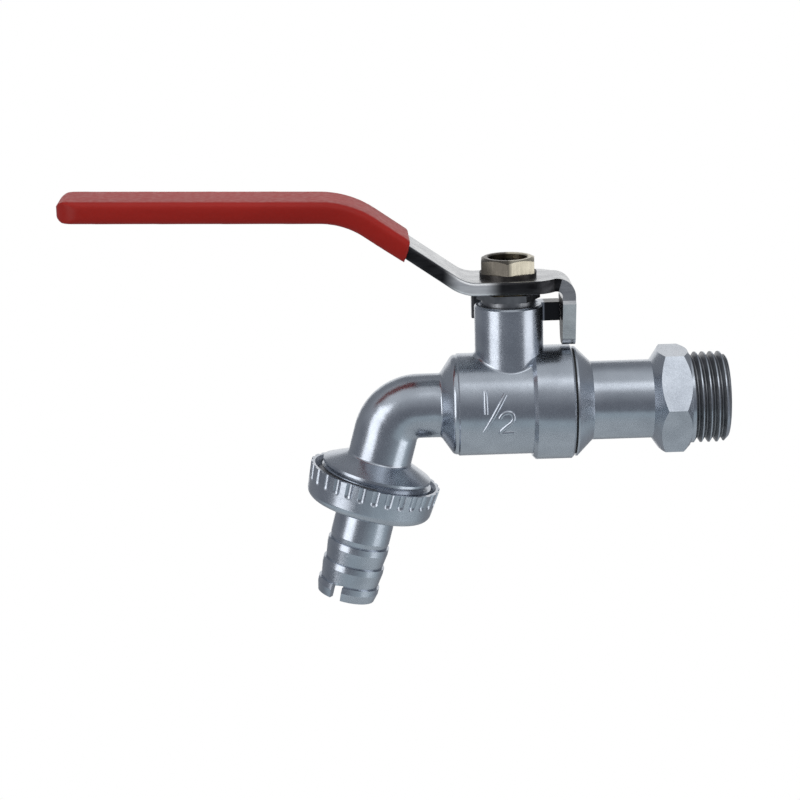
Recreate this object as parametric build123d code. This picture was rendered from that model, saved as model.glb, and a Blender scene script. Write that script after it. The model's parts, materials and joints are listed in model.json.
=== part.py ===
from build123d import *
import os
from math import atan2, cos, degrees, radians, sin, sqrt

# Half-inch lever bib tap: a ball valve with a swept spout, a hose union and a pressed steel lever.
# Millimetres, +Z up, +X out of the inlet. The origin is on the inlet axis, at the hexagon face where
# the inlet thread starts. The functions work from the stem axis, and the last lines move to the origin.

# Clearances
running_clearance = 0.05
thread_clearance = 0.1
free_clearance = 0.3
stop_gap = 0.2

# Ball and seats
ball_diameter = 18.0
waterway_diameter = 10.0
seat_length = 4.2
seat_backing = 0.6
drive_slot_width = 3.2
drive_slot_floor = 6.3

# Body barrel, collar and joint to the inlet connector
barrel_diameter = 23.6
barrel_end_wall = 2.4
barrel_edge_chamfer = 0.3
barrel_shoulder_length = 1.2
barrel_shoulder_round = 1.3
collar_diameter = 26.3
collar_length = 9.4
collar_chamfer = 0.8
joint_thread_diameter = 22.2
joint_thread_length = 4.6
joint_seal_thickness = 0.5
joint_seal_inset = 0.5

# Inlet connector
connector_flange_rim = 0.4
connector_tube_diameter = 18.1
connector_tube_length = 13.7
hexagon_across_flats = 22.5
hexagon_length = 8.5
hexagon_lead = 3.9
hexagon_chamfer = 1.6
inlet_thread_diameter = 20.955
inlet_thread_length = 9.0
inlet_thread_chamfer = 1.1
inlet_bore_diameter = 12.5

# Stem boss and stop lug
boss_diameter = 15.7
boss_top = 23.4
boss_foot_fillet = 0.8
boss_mouth_chamfer = 0.6
boss_rim_chamfer = 0.4
lug_reach = 11.8
lug_width = 4.1
lug_height = 4.3

# Stem and its seals
stem_flange_diameter = 10.4
stem_flange_thickness = 1.8
stem_journal_diameter = 9.0
stem_thread_diameter = 8.8
stem_across_flats = 6.4
stem_thread_engagement = 1.9
tang_length = 7.0
thrust_washer_thickness = 0.8
o_ring_section = 1.3
o_ring_height = 14.0
packing_diameter = 12.6
packing_floor = 16.2
packing_ring_height = 1.6
gland_across_flats = 12.6
gland_hexagon_height = 1.6
gland_travel = 1.2

# Lever strip and its bends, as distances from the stem axis and heights over the inlet axis
lever_width = 16.0
lever_thickness = 3.0
lever_edge_round = 0.7
lever_underside = 26.8
hub_reach = 4.0
neck_width = 10.0
tab_top = 24.6
tab_width = 11.4
tab_bottom = 13.7
tab_bottom_width = 6.0
tab_corner_round = 2.6
tab_bend_radius = 2.8
crank_start = 10.2
crank_end = 36.2
crank_rise = 18.3
crank_lower_radius = 9.0
crank_upper_radius = 20.0
grip_rise = 1.9
lever_tip = 100.1
lever_tip_round = 5.0
ear_outer = 8.0
ear_bottom = 18.4
ear_bend_radius = 2.6
sleeve_wall = 1.0
sleeve_start = 23.6
sleeve_edge_round = 1.7

# Lever fixing
washer_diameter = 13.0
washer_thickness = 1.1
washer_split = 1.2
washer_split_angle = 60.0
lever_nut_across_flats = 12.0
lever_nut_height = 3.4
lever_nut_turn = 25.0
lever_nut_chamfer = 0.7
lever_nut_countersink = 0.3

# Spout, with distances down the outlet axis counted from the elbow's corner
spout_diameter = 14.8
spout_cone_length = 4.0
spout_foot_round = 0.8
elbow_reach = 27.1
elbow_radius = 8.0
outlet_tilt = 15.0
spout_flange_top = 12.4
spout_flange_edge = 15.0
spout_flange_inset = 0.5
spout_flange_land = 0.6
spout_relief_depth = 1.3
spout_relief_length = 1.2
spout_thread_length = 5.2
spout_thread_chamfer = 0.6

# Hose union
union_nut_diameter = 30.6
union_nut_wall = 1.98
union_nut_top = 16.6
union_nut_lip = 1.4
union_nut_taper = 0.8
union_nut_rim = 0.9
union_nut_mouth_depth = 1.8
union_nut_edge_round = 2.0
flute_count = 30
flute_width = 1.8
flute_depth = 0.4
flute_length = 3.8
hose_washer_thickness = 1.5
tail_flange_inset = 1.0
tail_flange_thickness = 1.4
tail_neck_diameter = 13.9
tail_crest_diameter = 14.4
tail_root_diameter = 13.4
tail_crest_land = 1.4
barb_count = 3
barb_pitch = 4.9
last_barb_length = 3.4
tail_tip = 46.4
tail_slot_width = 2.6
tail_slot_depth = 4.0
tail_slot_angle = 25.0

# Places worked out from the sizes
ball_radius = ball_diameter / 2
waterway_radius = waterway_diameter / 2
chamber_radius = ball_radius + 2 * running_clearance + free_clearance
seat_back = ball_radius + seat_backing
barrel_end = seat_back + barrel_end_wall
joint_face = seat_back + joint_thread_length
connector_face = joint_face + joint_seal_thickness
connector_flange_radius = collar_diameter / 2 - joint_seal_inset
connector_cone_start = connector_face + connector_flange_rim
connector_cone_end = connector_cone_start + connector_flange_radius - connector_tube_diameter / 2
hexagon_start = connector_cone_end + connector_tube_length
inlet_shoulder = hexagon_start + hexagon_length
stem_flange_bottom = ball_radius + free_clearance
stem_flange_top = stem_flange_bottom + stem_flange_thickness
stem_pocket_top = stem_flange_top + thrust_washer_thickness
stem_bore_radius = stem_journal_diameter / 2 + running_clearance
gland_seat = packing_floor + 2 * packing_ring_height
lever_top = lever_underside + lever_thickness
lever_nut_seat = lever_top + washer_thickness
stem_top = lever_nut_seat + stem_thread_engagement
lever_level = lever_underside + lever_thickness / 2
tab_distance = lug_reach + stop_gap + lever_thickness / 2
crank_top = lever_level + crank_rise
spout_thread_diameter = union_nut_diameter - 2 * (union_nut_wall + thread_clearance)
spout_end = spout_flange_edge + spout_thread_length
tail_seat = spout_end + hose_washer_thickness
tail_flange_diameter = spout_thread_diameter - 2 * tail_flange_inset
union_lip_top = tail_seat + tail_flange_thickness
union_nut_bottom = union_lip_top + union_nut_lip
outlet_direction = (-sin(radians(outlet_tilt)), 0, -cos(radians(outlet_tilt)))
outlet_frame = Plane((-elbow_reach, 0, 0), x_dir=(0, -1, 0), z_dir=outlet_direction)
upright = (Align.CENTER, Align.CENTER, Align.MIN)
outward = (Align.MIN, Align.CENTER, Align.MIN)


def rounded_corner(profile, corner, radius):
    """Flat profile with one of its corners, given as a point, rounded off."""
    return fillet(profile.vertices().sort_by_distance(corner)[0], radius)


def turned_about_inlet(*points):
    """Solid of revolution about the inlet axis from points given as (distance, radius)."""
    return revolve(make_face(Polyline(*points, close=True)), Axis.X)


def turned_about_stem(*points):
    """Solid of revolution about the stem axis from points given as (radius, height)."""
    return revolve(Plane.XZ * make_face(Polyline(*points, close=True)), Axis.Z)


def rod_on_inlet(radius, start, end):
    """Cylinder along the inlet axis between two distances from the stem."""
    return turned_about_inlet((start, 0), (end, 0), (end, radius), (start, radius))


def rod_on_stem(radius, bottom, top):
    """Cylinder along the stem axis between two heights."""
    return Pos(0, 0, bottom) * Cylinder(radius, top - bottom, align=upright)


def ring_on_stem(outer_radius, inner_radius, bottom, top):
    """Flat ring about the stem axis."""
    return rod_on_stem(outer_radius, bottom, top) - rod_on_stem(inner_radius, bottom, top)


def hexagon_on_stem(across_flats, bottom, top, turn):
    """Hexagonal prism about the stem axis, with a corner turned from +X by the given angle."""
    outline = RegularPolygon(across_flats / 2, 6, major_radius=False, rotation=turn)
    return Pos(0, 0, bottom) * extrude(outline, top - bottom)


def outlet_path(start, end):
    """Line of the spout from a distance along the barrel, round the elbow, to a distance down the outlet."""
    end_point = Vector(-elbow_reach, 0, 0) + end * Vector(*outlet_direction)
    return FilletPolyline((-start, 0, 0), (-elbow_reach, 0, 0), end_point, radius=elbow_radius)


def spout_tube(diameter, start, end):
    """Round tube or bore that follows the spout's line."""
    section = Plane((-start, 0, 0), x_dir=(0, 1, 0), z_dir=(-1, 0, 0)) * Circle(diameter / 2)
    return sweep(section, path=outlet_path(start, end))


def make_barrel():
    """Turned barrel round the ball chamber, with the rounded cast shoulder that runs down to the spout."""
    barrel_radius = barrel_diameter / 2
    spout_radius = spout_diameter / 2
    cast_radius = barrel_radius - barrel_edge_chamfer
    cone_end = -barrel_end - spout_cone_length
    spout_side = cone_end - 2 * spout_foot_round
    shoulder = (-barrel_end - barrel_shoulder_length, cast_radius)
    outline = Polyline(
        (spout_side, 0),
        (joint_face, 0),
        (joint_face, barrel_radius),
        (-barrel_end, barrel_radius),
        (-barrel_end - barrel_edge_chamfer, cast_radius),
        shoulder,
        (cone_end, spout_radius),
        (spout_side, spout_radius),
        close=True,
    )
    profile = rounded_corner(make_face(outline), shoulder, barrel_shoulder_round)
    return revolve(rounded_corner(profile, (cone_end, spout_radius), spout_foot_round), Axis.X)


def make_collar():
    """Larger collar at the barrel's open end, chamfered on both edges."""
    collar_radius = collar_diameter / 2
    collar_start = joint_face - collar_length
    return turned_about_inlet(
        (collar_start, 0),
        (joint_face, 0),
        (joint_face, collar_radius - collar_chamfer / 2),
        (joint_face - collar_chamfer / 2, collar_radius),
        (collar_start + collar_chamfer, collar_radius),
        (collar_start, collar_radius - collar_chamfer),
    )


def make_spout_end():
    """Shallow conical flange, thread relief and union thread at the end of the spout."""
    spout_radius = spout_diameter / 2
    spout_side = spout_flange_top - 2 * spout_foot_round
    thread_radius = spout_thread_diameter / 2
    flange_radius = thread_radius - spout_flange_inset
    relief_radius = thread_radius - spout_relief_depth
    relief_start = spout_flange_edge + spout_flange_land
    thread_start = relief_start + spout_relief_length
    outline = Polyline(
        (0, spout_side),
        (spout_radius, spout_side),
        (spout_radius, spout_flange_top),
        (flange_radius, spout_flange_edge),
        (flange_radius, relief_start),
        (relief_radius, relief_start),
        (relief_radius, thread_start),
        (thread_radius, thread_start),
        (thread_radius, spout_end - spout_thread_chamfer),
        (thread_radius - spout_thread_chamfer, spout_end),
        (0, spout_end),
        close=True,
    )
    profile = rounded_corner(make_face(outline), (spout_radius, spout_flange_top), spout_foot_round)
    return outlet_frame * revolve(Plane.XZ * profile, Axis.Z)


def make_boss():
    """Round boss that carries the stem, with its rim chamfered."""
    radius = boss_diameter / 2
    return turned_about_stem(
        (0, 0),
        (radius, 0),
        (radius, boss_top - boss_rim_chamfer),
        (radius - boss_rim_chamfer, boss_top),
        (0, boss_top),
    )


def make_valve_body():
    """The one casting: ball chamber, collar, stem boss, stop lug, swept spout and spout thread."""
    body = make_barrel() + make_boss()
    foot = body.edges().filter_by(GeomType.LINE, reverse=True).filter_by(GeomType.CIRCLE, reverse=True)
    body = fillet(foot, boss_foot_fillet)
    body += make_collar()
    lug = Box(lug_reach, lug_width, lug_height, align=(Align.MIN, Align.MIN, Align.MAX))
    body += Pos(0, 0, boss_top) * lug
    body += spout_tube(spout_diameter, barrel_end, spout_flange_edge)
    body += make_spout_end()
    body -= rod_on_inlet(chamber_radius, -seat_back, joint_face)
    body -= rod_on_inlet(joint_thread_diameter / 2 + thread_clearance, seat_back - free_clearance, joint_face)
    body -= spout_tube(waterway_diameter, seat_back, spout_end)
    body -= rod_on_stem(stem_flange_diameter / 2 + free_clearance, 0, stem_pocket_top)
    body -= rod_on_stem(stem_bore_radius, 0, boss_top)
    body -= rod_on_stem(packing_diameter / 2, packing_floor, boss_top)
    mouth_radius = packing_diameter / 2 + boss_mouth_chamfer
    body -= turned_about_stem(
        (0, boss_top - boss_mouth_chamfer),
        (packing_diameter / 2, boss_top - boss_mouth_chamfer),
        (mouth_radius, boss_top),
        (0, boss_top),
    )
    return body


def make_inlet_connector():
    """Turned connector: joint thread, coned flange, tube, hexagon and inlet thread."""
    joint_radius = joint_thread_diameter / 2
    tube_radius = connector_tube_diameter / 2
    thread_radius = inlet_thread_diameter / 2
    thread_end = inlet_shoulder + inlet_thread_length
    turned = turned_about_inlet(
        (seat_back, 0),
        (thread_end, 0),
        (thread_end, thread_radius - inlet_thread_chamfer),
        (thread_end - inlet_thread_chamfer, thread_radius),
        (inlet_shoulder - hexagon_chamfer, thread_radius),
        (inlet_shoulder - hexagon_chamfer, tube_radius),
        (connector_cone_end, tube_radius),
        (connector_cone_start, connector_flange_radius),
        (connector_face, connector_flange_radius),
        (connector_face, joint_radius),
        (seat_back, joint_radius),
    )
    outline = RegularPolygon(hexagon_across_flats / 2, 6, major_radius=False, rotation=0)
    prism = Plane((hexagon_start, 0, 0), x_dir=(0, 1, 0), z_dir=(1, 0, 0)) * extrude(outline, hexagon_length)
    corner_radius = hexagon_across_flats / sqrt(3)
    rounding = turned_about_inlet(
        (hexagon_start, 0),
        (inlet_shoulder, 0),
        (inlet_shoulder, hexagon_across_flats / 2),
        (inlet_shoulder - hexagon_chamfer, corner_radius),
        (hexagon_start + hexagon_lead, corner_radius),
        (hexagon_start, tube_radius),
    )
    bore = turned_about_inlet(
        (seat_back, 0),
        (thread_end, 0),
        (thread_end, inlet_bore_diameter / 2),
        (connector_cone_end, inlet_bore_diameter / 2),
        (connector_face, waterway_radius),
        (seat_back, waterway_radius),
    )
    return turned + (prism & rounding) - bore


def make_body_joint_seal():
    """Flat ring squeezed between the collar and the connector's flange."""
    outer = rod_on_inlet(connector_flange_radius - joint_seal_inset, joint_face, connector_face)
    return outer - rod_on_inlet(joint_thread_diameter / 2 + thread_clearance, joint_face, connector_face)


def make_seat():
    """Seat ring on the inlet side of the ball, hollowed to the ball's surface."""
    ring_radius = chamber_radius - running_clearance
    hollow_radius = ball_radius + running_clearance
    seat_front = seat_back - seat_length
    front_edge = (seat_front, sqrt(hollow_radius**2 - seat_front**2))
    bore_edge = (sqrt(hollow_radius**2 - waterway_radius**2), waterway_radius)
    outline = Polyline(
        front_edge,
        (seat_front, ring_radius),
        (seat_back, ring_radius),
        (seat_back, waterway_radius),
        bore_edge,
    )
    hollow = RadiusArc(bore_edge, front_edge, -hollow_radius)
    return revolve(make_face(outline.edges() + hollow.edges()), Axis.X)


def make_ball():
    """Ball with its through bore and the drive slot across its top."""
    ball = Sphere(ball_radius) - rod_on_inlet(waterway_radius, -ball_radius, ball_radius)
    slot_depth = ball_radius - drive_slot_floor
    slot = Box(drive_slot_width, ball_diameter, slot_depth, align=upright)
    return ball - Pos(0, 0, drive_slot_floor) * slot


def flatted_rod(diameter, across_flats, bottom, top):
    """Rod about the stem axis with two flats that face along Y."""
    slab = Box(diameter, across_flats, top - bottom, align=upright)
    return rod_on_stem(diameter / 2, bottom, top) & Pos(0, 0, bottom) * slab


def make_stem():
    """Stem with drive tang, blow-out flange, journal, O-ring groove and flatted threaded end."""
    tang_thickness = drive_slot_width - 4 * running_clearance
    tang_bottom = drive_slot_floor + stop_gap
    tang_height = stem_flange_bottom - tang_bottom
    tang = Box(tang_thickness, tang_length, tang_height, align=upright)
    stem = Pos(0, 0, tang_bottom) * tang
    stem += rod_on_stem(stem_flange_diameter / 2, stem_flange_bottom, stem_flange_top)
    stem += rod_on_stem(stem_journal_diameter / 2, stem_flange_top, lever_underside)
    stem += flatted_rod(stem_thread_diameter, stem_across_flats, lever_underside, stem_top)
    groove_floor = stem_bore_radius - o_ring_section - 2 * running_clearance
    groove_half_width = o_ring_section / 2 + running_clearance
    groove_bottom = o_ring_height - groove_half_width
    groove_top = o_ring_height + groove_half_width
    return stem - ring_on_stem(stem_journal_diameter / 2, groove_floor, groove_bottom, groove_top)


def make_stem_o_ring():
    """Round-section seal that rides in the stem's groove."""
    ring_radius = stem_bore_radius - running_clearance - o_ring_section / 2
    return Pos(0, 0, o_ring_height) * Torus(ring_radius, o_ring_section / 2)


def make_gland_nut():
    """Threaded sleeve that presses the packing, with its hexagon a little way over the boss."""
    sleeve_radius = packing_diameter / 2 - thread_clearance
    hexagon_bottom = boss_top + gland_travel
    hexagon_top = hexagon_bottom + gland_hexagon_height
    nut = rod_on_stem(sleeve_radius, gland_seat, hexagon_bottom)
    nut += hexagon_on_stem(gland_across_flats, hexagon_bottom, hexagon_top, 0)
    return nut - rod_on_stem(stem_bore_radius, gland_seat, hexagon_top)


def lever_corners(end_distance):
    """Corner points of the lever's bent line from the hub to a little past a distance from the stem axis."""
    crank_low = (-crank_start, 0, lever_level)
    crank_high = (-crank_end, 0, crank_top)
    slope = grip_rise / (lever_tip - crank_end)
    grip_length = end_distance + lever_thickness - crank_end
    beyond_tip = (-crank_end - grip_length, 0, crank_top + slope * grip_length)
    return crank_low, crank_high, beyond_tip


def strip_along(path, width, thickness, edge_round):
    """Strip of rounded rectangular section swept along a bent line in the XZ plane."""
    section = Plane(path @ 0, x_dir=(0, 1, 0), z_dir=path % 0)
    return sweep(section * RectangleRounded(width, thickness, edge_round), path=path)


def rounded_tip(end_distance, width, corner_round):
    """Tall block that trims a strip to its length and rounds the corners of its free end."""
    outline = RectangleRounded(2 * end_distance, width + 2 * running_clearance, corner_round)
    return extrude(outline, 2 * crank_top)


def make_neck_relief():
    """Waste around the hub's half-round end, on both sides of the neck that carries the end tab."""
    height = lever_top - tab_top
    length = 2 * tab_distance - hub_reach
    hub_end = Cylinder(lever_width / 2 + running_clearance, height, align=upright)
    blank = Box(length, 2 * lever_width, height, align=outward)
    neck = Box(length, neck_width, height, align=outward)
    return Pos(hub_reach, 0, tab_top) * (blank - hub_end - neck)


def make_tab_outline():
    """Tongue outline of the end tab, wider below its neck, extruded along X."""
    widest = tab_top - (tab_width - neck_width) / 2
    half_outline = (
        (neck_width / 2, tab_top),
        (tab_width / 2, widest),
        (tab_bottom_width / 2, tab_bottom),
    )
    mirrored = [(-y, z) for y, z in reversed(half_outline)]
    tongue = make_face(Polyline(*half_outline, *mirrored, close=True))
    lowest = tongue.vertices().group_by(Axis.Y)[0]
    return Plane.YZ * extrude(fillet(lowest, tab_corner_round), 2 * tab_distance)


def make_lever_arm():
    """Pressed steel lever: tongue tab, flat hub, cranked arm, and the rear ear that stops it when closed."""
    path = FilletPolyline(
        (tab_distance, 0, tab_bottom),
        (tab_distance, 0, lever_level),
        *lever_corners(lever_tip),
        radius=(tab_bend_radius, crank_lower_radius, crank_upper_radius),
    )
    lever = strip_along(path, lever_width, lever_thickness, lever_edge_round)
    lever &= rounded_tip(lever_tip, lever_width, lever_tip_round)
    tab_zone = Box(2 * tab_distance, 2 * lever_width, tab_top, align=outward)
    lever -= tab_zone - make_tab_outline()
    lever -= make_neck_relief()
    lever += make_rear_ear()
    hole_diameter = stem_thread_diameter + 2 * running_clearance
    hole_flats = stem_across_flats + 2 * running_clearance
    return lever - flatted_rod(hole_diameter, hole_flats, lever_underside, lever_top)


def make_rear_ear():
    """Ear bent down from the hub's rear edge, which meets the back of the lug when the tap is closed."""
    ear_inner = lug_width + stop_gap
    ear_width = ear_outer - ear_inner
    ear_distance = boss_diameter / 2 + free_clearance + lever_thickness / 2
    ear_middle = -(ear_outer + ear_inner) / 2
    path = FilletPolyline(
        (ear_middle, lever_width / 4, lever_level),
        (ear_middle, ear_distance, lever_level),
        (ear_middle, ear_distance, ear_bottom),
        radius=ear_bend_radius,
    )
    section = Plane(path @ 0, x_dir=(1, 0, 0), z_dir=path % 0)
    return sweep(section * RectangleRounded(ear_width, lever_thickness, lever_edge_round), path=path)


def make_grip_sleeve():
    """Dipped vinyl sleeve over the arm, closed round the free end."""
    crank_low, crank_high, beyond_tip = lever_corners(lever_tip + sleeve_wall)
    share = (sleeve_start - crank_start) / (crank_end - crank_start)
    mouth = Vector(*crank_low) + share * (Vector(*crank_high) - Vector(*crank_low))
    path = FilletPolyline(mouth, crank_high, beyond_tip, radius=crank_upper_radius)
    outer_width = lever_width + 2 * sleeve_wall
    outer = strip_along(path, outer_width, lever_thickness + 2 * sleeve_wall, sleeve_edge_round)
    outer &= rounded_tip(lever_tip + sleeve_wall, outer_width, lever_tip_round + sleeve_wall)
    inner_tip = lever_tip + running_clearance
    inner_path = FilletPolyline(*lever_corners(inner_tip), radius=crank_upper_radius)
    inner_width = lever_width + 2 * running_clearance
    inner = strip_along(inner_path, inner_width, lever_thickness + 2 * running_clearance, lever_edge_round)
    inner &= rounded_tip(inner_tip, inner_width, lever_tip_round + running_clearance)
    return outer - inner


def make_lock_washer():
    """Split spring washer under the lever nut."""
    inner_radius = stem_thread_diameter / 2 + thread_clearance
    ring = ring_on_stem(washer_diameter / 2, inner_radius, lever_top, lever_nut_seat)
    split = Box(washer_diameter, washer_split, washer_thickness, align=outward)
    return ring - Rot(0, 0, washer_split_angle) * Pos(0, 0, lever_top) * split


def make_lever_nut():
    """Hexagon nut with a chamfered top and a countersunk thread."""
    top = lever_nut_seat + lever_nut_height
    corner_radius = lever_nut_across_flats / sqrt(3)
    prism = hexagon_on_stem(lever_nut_across_flats, lever_nut_seat, top, lever_nut_turn)
    rounding = turned_about_stem(
        (0, lever_nut_seat),
        (corner_radius, lever_nut_seat),
        (corner_radius, top - lever_nut_chamfer),
        (corner_radius - 2 * lever_nut_chamfer, top),
        (0, top),
    )
    thread_radius = stem_thread_diameter / 2 + thread_clearance
    bore = turned_about_stem(
        (0, lever_nut_seat),
        (thread_radius, lever_nut_seat),
        (thread_radius, top - lever_nut_countersink),
        (thread_radius + lever_nut_countersink, top),
        (0, top),
    )
    return (prism & rounding) - bore


def make_union_nut():
    """Tapered ring nut with a lip below, scooped grip flutes from its rim, and a rounded lower edge."""
    rim_radius = union_nut_diameter / 2
    lower_radius = rim_radius - union_nut_taper
    thread_radius = spout_thread_diameter / 2 + thread_clearance
    lip_radius = tail_neck_diameter / 2 + free_clearance
    nut = turned_about_stem(
        (0, union_nut_top),
        (rim_radius, union_nut_top),
        (lower_radius, union_nut_bottom),
        (0, union_nut_bottom),
    )
    nut = fillet(nut.edges().group_by(Axis.Z)[-1], union_nut_edge_round)
    nut -= turned_about_stem(
        (0, union_nut_top),
        (rim_radius - union_nut_rim, union_nut_top),
        (thread_radius, union_nut_top + union_nut_mouth_depth),
        (thread_radius, union_lip_top),
        (lip_radius, union_lip_top),
        (lip_radius, union_nut_bottom),
        (0, union_nut_bottom),
    )
    scoop_radius = ((flute_width / 2) ** 2 + flute_depth**2) / (2 * flute_depth)
    scoop_length = flute_length - flute_width / 2
    wall_angle = degrees(atan2(union_nut_taper, union_nut_bottom - union_nut_top))
    scoop = Cylinder(scoop_radius, 2 * scoop_length) + Pos(0, 0, scoop_length) * Sphere(scoop_radius)
    flute = Pos(rim_radius - flute_depth + scoop_radius, 0, union_nut_top) * Rot(0, -wall_angle, 0) * scoop
    nut -= [Rot(0, 0, index * 360 / flute_count) * flute for index in range(flute_count)]
    return outlet_frame * nut


def make_hose_tail():
    """Flanged tail with saw-tooth barbs, a through bore and one saw cut across its end."""
    crest = tail_crest_diameter / 2
    root = tail_root_diameter / 2
    outline = [
        (waterway_radius, tail_seat),
        (tail_flange_diameter / 2, tail_seat),
        (tail_flange_diameter / 2, union_lip_top),
        (tail_neck_diameter / 2, union_lip_top),
    ]
    first_barb = tail_tip - last_barb_length - (barb_count - 1) * barb_pitch
    outline.append((tail_neck_diameter / 2, first_barb - tail_crest_land))
    outline.append((root, first_barb))
    for index in range(barb_count):
        barb_start = first_barb + index * barb_pitch
        outline.append((crest, barb_start))
        outline.append((crest, barb_start + tail_crest_land))
        outline.append((root, min(barb_start + barb_pitch, tail_tip)))
    outline.append((waterway_radius, tail_tip))
    tail = turned_about_stem(*outline)
    cut = Box(2 * tail_crest_diameter, tail_slot_width, tail_slot_depth, align=upright)
    return outlet_frame * (tail - Rot(0, 0, tail_slot_angle) * Pos(0, 0, tail_tip - tail_slot_depth) * cut)


def make_hose_washer():
    """Flat rubber ring between the spout's end and the hose tail."""
    return outlet_frame * ring_on_stem(tail_flange_diameter / 2, waterway_radius, spout_end, tail_seat)


def make_thrust_washer():
    """Slip ring between the stem's blow-out flange and the roof of its pocket."""
    return ring_on_stem(stem_flange_diameter / 2, stem_bore_radius, stem_flange_top, stem_pocket_top)


def make_packing_ring(bottom):
    """One of the packing rings round the stem, standing at the given height."""
    outer_radius = packing_diameter / 2 - running_clearance
    return ring_on_stem(outer_radius, stem_bore_radius, bottom, bottom + packing_ring_height)


pieces = {
    "valve_body": make_valve_body(),
    "inlet_connector": make_inlet_connector(),
    "body_joint_seal": make_body_joint_seal(),
    "downstream_seat": mirror(make_seat(), about=Plane.YZ),
    "upstream_seat": make_seat(),
    "ball": make_ball(),
    "stem": make_stem(),
    "stem_thrust_washer": make_thrust_washer(),
    "stem_o_ring": make_stem_o_ring(),
    "lower_packing_ring": make_packing_ring(packing_floor),
    "upper_packing_ring": make_packing_ring(packing_floor + packing_ring_height),
    "gland_nut": make_gland_nut(),
    "lever_arm": make_lever_arm(),
    "grip_sleeve": make_grip_sleeve(),
    "lock_washer": make_lock_washer(),
    "lever_nut": make_lever_nut(),
    "union_nut": make_union_nut(),
    "hose_washer": make_hose_washer(),
    "hose_tail": make_hose_tail(),
}

os.makedirs("parts", exist_ok=True)
for name, piece in pieces.items():
    export_step(Pos(-inlet_shoulder, 0, 0) * piece, f"parts/{name}.step")
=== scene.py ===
import json
from math import cos, pi, radians, sin

import bmesh
import bpy
from mathutils import Matrix, Vector


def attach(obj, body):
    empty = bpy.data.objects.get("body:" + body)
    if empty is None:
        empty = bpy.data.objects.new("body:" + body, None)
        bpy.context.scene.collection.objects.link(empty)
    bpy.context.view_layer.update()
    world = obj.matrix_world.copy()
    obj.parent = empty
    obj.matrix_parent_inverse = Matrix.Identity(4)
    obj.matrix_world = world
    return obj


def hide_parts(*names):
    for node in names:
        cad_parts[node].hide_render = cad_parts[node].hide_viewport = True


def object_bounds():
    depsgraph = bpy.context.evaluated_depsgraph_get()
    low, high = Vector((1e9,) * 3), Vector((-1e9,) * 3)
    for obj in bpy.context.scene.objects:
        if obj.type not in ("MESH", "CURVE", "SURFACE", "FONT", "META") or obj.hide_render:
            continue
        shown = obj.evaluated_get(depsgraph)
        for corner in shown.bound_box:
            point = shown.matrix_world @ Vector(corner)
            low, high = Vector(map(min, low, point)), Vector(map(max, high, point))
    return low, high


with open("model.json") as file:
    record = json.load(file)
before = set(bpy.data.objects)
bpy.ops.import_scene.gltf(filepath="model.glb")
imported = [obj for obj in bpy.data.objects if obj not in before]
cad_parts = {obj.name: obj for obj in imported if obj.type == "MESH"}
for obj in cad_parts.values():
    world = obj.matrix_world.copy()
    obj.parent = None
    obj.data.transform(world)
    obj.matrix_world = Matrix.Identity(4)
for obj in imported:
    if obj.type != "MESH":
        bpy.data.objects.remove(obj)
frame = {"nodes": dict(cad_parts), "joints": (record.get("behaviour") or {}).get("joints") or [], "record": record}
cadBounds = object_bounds()
mm = 0.001
weldDistance = 0.0005 * mm
sharpFrom = {"turned": 28, "pressed": 35, "mark": 50}  # degrees past which an edge stays sharp
cadNodes = frame["nodes"]
joints = {joint["name"]: joint for joint in frame["joints"]}
mounts = {mount["name"]: mount for mount in frame["record"]["mounts"]}
stemAxisX = joints["lever_turn"]["pos_m"][0]
outletPoint = Vector(joints["union_turn"]["pos_m"])
outletAxis = Vector(joints["union_turn"]["axis"]).normalized()
print("frame loaded:", len(cadNodes), "nodes")


# shared helpers
def linkObject(name, mesh):
    piece = bpy.data.objects.new(name, mesh)
    bpy.context.scene.collection.objects.link(piece)
    return piece


def axisMatrix(origin, axis):
    return Matrix.Translation(origin) @ Vector(axis).to_track_quat("Z", "Y").to_matrix().to_4x4()


def bakeModifiers(piece):
    evaluated = piece.evaluated_get(bpy.context.evaluated_depsgraph_get())
    mesh = bpy.data.meshes.new_from_object(evaluated)
    piece.modifiers.clear()
    piece.data = mesh
    return piece


def weldedCopy(nodeName, pieceName):
    mesh = bpy.data.meshes.new(pieceName)
    shape = bmesh.new()
    shape.from_mesh(cadNodes[nodeName].data)
    bmesh.ops.remove_doubles(shape, verts=shape.verts, dist=weldDistance)
    shape.to_mesh(mesh)
    shape.free()
    for layer in [layer for layer in mesh.attributes if layer.name == "custom_normal"]:
        mesh.attributes.remove(layer)
    mesh.materials.clear()
    mesh.materials.append(finishes[nodeName])
    return linkObject(pieceName, mesh)


def faceOutwards(piece):
    shape = bmesh.new()
    shape.from_mesh(piece.data)
    bmesh.ops.recalc_face_normals(shape, faces=shape.faces)
    shape.to_mesh(piece.data)
    shape.free()
    return piece


def shadeByAngle(piece, degrees):
    mesh = piece.data
    mesh.polygons.foreach_set("use_smooth", [True] * len(mesh.polygons))
    mesh.set_sharp_from_angle(angle=radians(degrees))
    evenNormals = piece.modifiers.new("even normals", "WEIGHTED_NORMAL")
    evenNormals.keep_sharp = True
    return bakeModifiers(piece)


def setInput(modifier, name, value):
    for item in modifier.node_group.interface.items_tree:
        if item.item_type == "SOCKET" and item.in_out == "INPUT" and item.name == name:
            modifier[item.identifier] = value
            return
    raise KeyError(name)


def newTree(name, inputs):
    tree = bpy.data.node_groups.new(name, "GeometryNodeTree")
    tree.interface.new_socket("Geometry", in_out="INPUT", socket_type="NodeSocketGeometry")
    for inputName, socketType, value in inputs:
        socket = tree.interface.new_socket(inputName, in_out="INPUT", socket_type=socketType)
        if value is not None:
            socket.default_value = value
    tree.interface.new_socket("Geometry", in_out="OUTPUT", socket_type="NodeSocketGeometry")
    return tree, tree.nodes.new("NodeGroupInput"), tree.nodes.new("NodeGroupOutput")


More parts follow.
